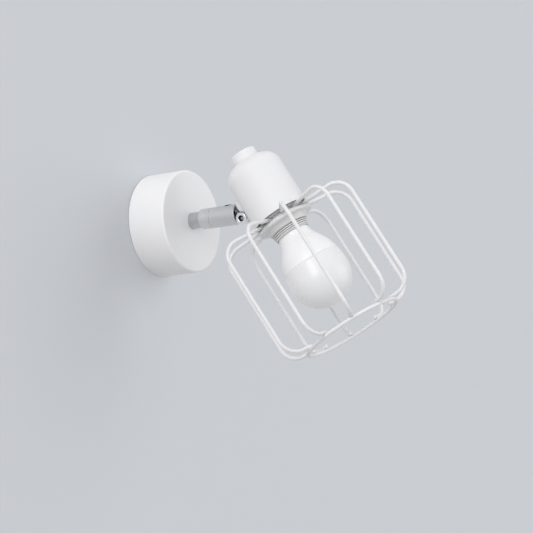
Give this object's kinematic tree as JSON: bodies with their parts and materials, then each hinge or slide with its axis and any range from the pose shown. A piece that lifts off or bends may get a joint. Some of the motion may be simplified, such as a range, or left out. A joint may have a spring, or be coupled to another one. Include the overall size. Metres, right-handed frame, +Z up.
{
  "type": "wall light",
  "caption": "Cage wall light: round canopy, swivelling arm with a tilting knuckle, and a cup-shaped lamp head with a round wire cage and a globe lamp.",
  "frame": {"origin": "centre of the canopy on the wall plane, midway between the two screw slots", "axes": "+Z up the wall, +Y into the wall, so the light stands out along -Y; +X to the right of a person who faces the wall"},
  "size_m": [0.121, 0.1892, 0.1526],
  "materials": {
    "white_satin": "smooth white satin lacquer",
    "satin_nickel": "satin nickel plating",
    "polished_chrome": "polished",
    "zinc_steel": "bright zinc plating",
    "dark_steel": "blackened steel",
    "brass": "plain",
    "terminal_plastic": "moulded, fine matt",
    "washer_plastic": "plain",
    "holder_plastic": "moulded thermosetting plastic",
    "ring_plastic": "satin gloss",
    "lamp_white": "smooth white",
    "lamp_diffuser": "smooth opal",
    "lamp_metal": "nickel plated, pressed thread",
    "black_insulator": "plain",
    "led_aluminium": "plain",
    "board_green": "solder mask"
  },
  "bodies": {
    "wall_base": {"wall_bracket": "zinc_steel", "threaded_tube": "brass", "tube_nuts": "zinc_steel", "canopy": "white_satin", "terminal_block": "terminal_plastic", "terminal_screws": "brass", "block_screw": "zinc_steel", "earth_screw": "brass", "collar_nut": "satin_nickel", "swivel_sleeve": "satin_nickel", "swivel_stop_pin": "zinc_steel"},
    "arm": {"arm_tube": "satin_nickel", "knuckle_fork": "polished_chrome", "swivel_ring_nut": "zinc_steel", "swivel_spring_washer": "zinc_steel", "arm_set_screw": "dark_steel", "pivot_screw": "polished_chrome", "pivot_nut": "polished_chrome", "friction_washers": "washer_plastic"},
    "head": {"knuckle_stem": "polished_chrome", "saddle_washers": "white_satin", "stem_nut": "zinc_steel", "cup": "white_satin", "cup_cap": "white_satin", "holder_tube": "brass", "holder_nut": "zinc_steel", "holder_cover": "holder_plastic", "holder_core": "holder_plastic", "holder_skirt": "holder_plastic", "holder_thread_shell": "brass", "holder_contact": "brass", "shade_ring": "ring_plastic", "cage_top_ring": "white_satin", "cage_wire_01": "white_satin", "cage_wire_02": "white_satin", "cage_wire_03": "white_satin", "cage_wire_04": "white_satin", "cage_wire_05": "white_satin", "cage_wire_06": "white_satin", "cage_wire_07": "white_satin", "cage_wire_08": "white_satin", "cage_wire_09": "white_satin", "cage_wire_10": "white_satin", "cage_bottom_ring": "white_satin", "lamp_housing": "lamp_white", "lamp_dome": "lamp_diffuser", "lamp_base": "lamp_metal", "lamp_insulator": "black_insulator", "lamp_contact": "lamp_metal", "lamp_led_board": "led_aluminium", "lamp_driver_board": "board_green"}
  },
  "joints": [
    {"name": "arm_swivel", "type": "hinge", "parent": "wall_base", "child": "arm", "pos_m": [0, -0.0487, 0], "axis": [0, 1, 0], "range_deg": [-145.8, 180.2]},
    {"name": "head_tilt", "type": "hinge", "parent": "arm", "child": "head", "pos_m": [0.00096, -0.0755, -0.00311], "axis": [-0.9553, 0, -0.2957], "range_deg": [-51, 8.5]}
  ]
}
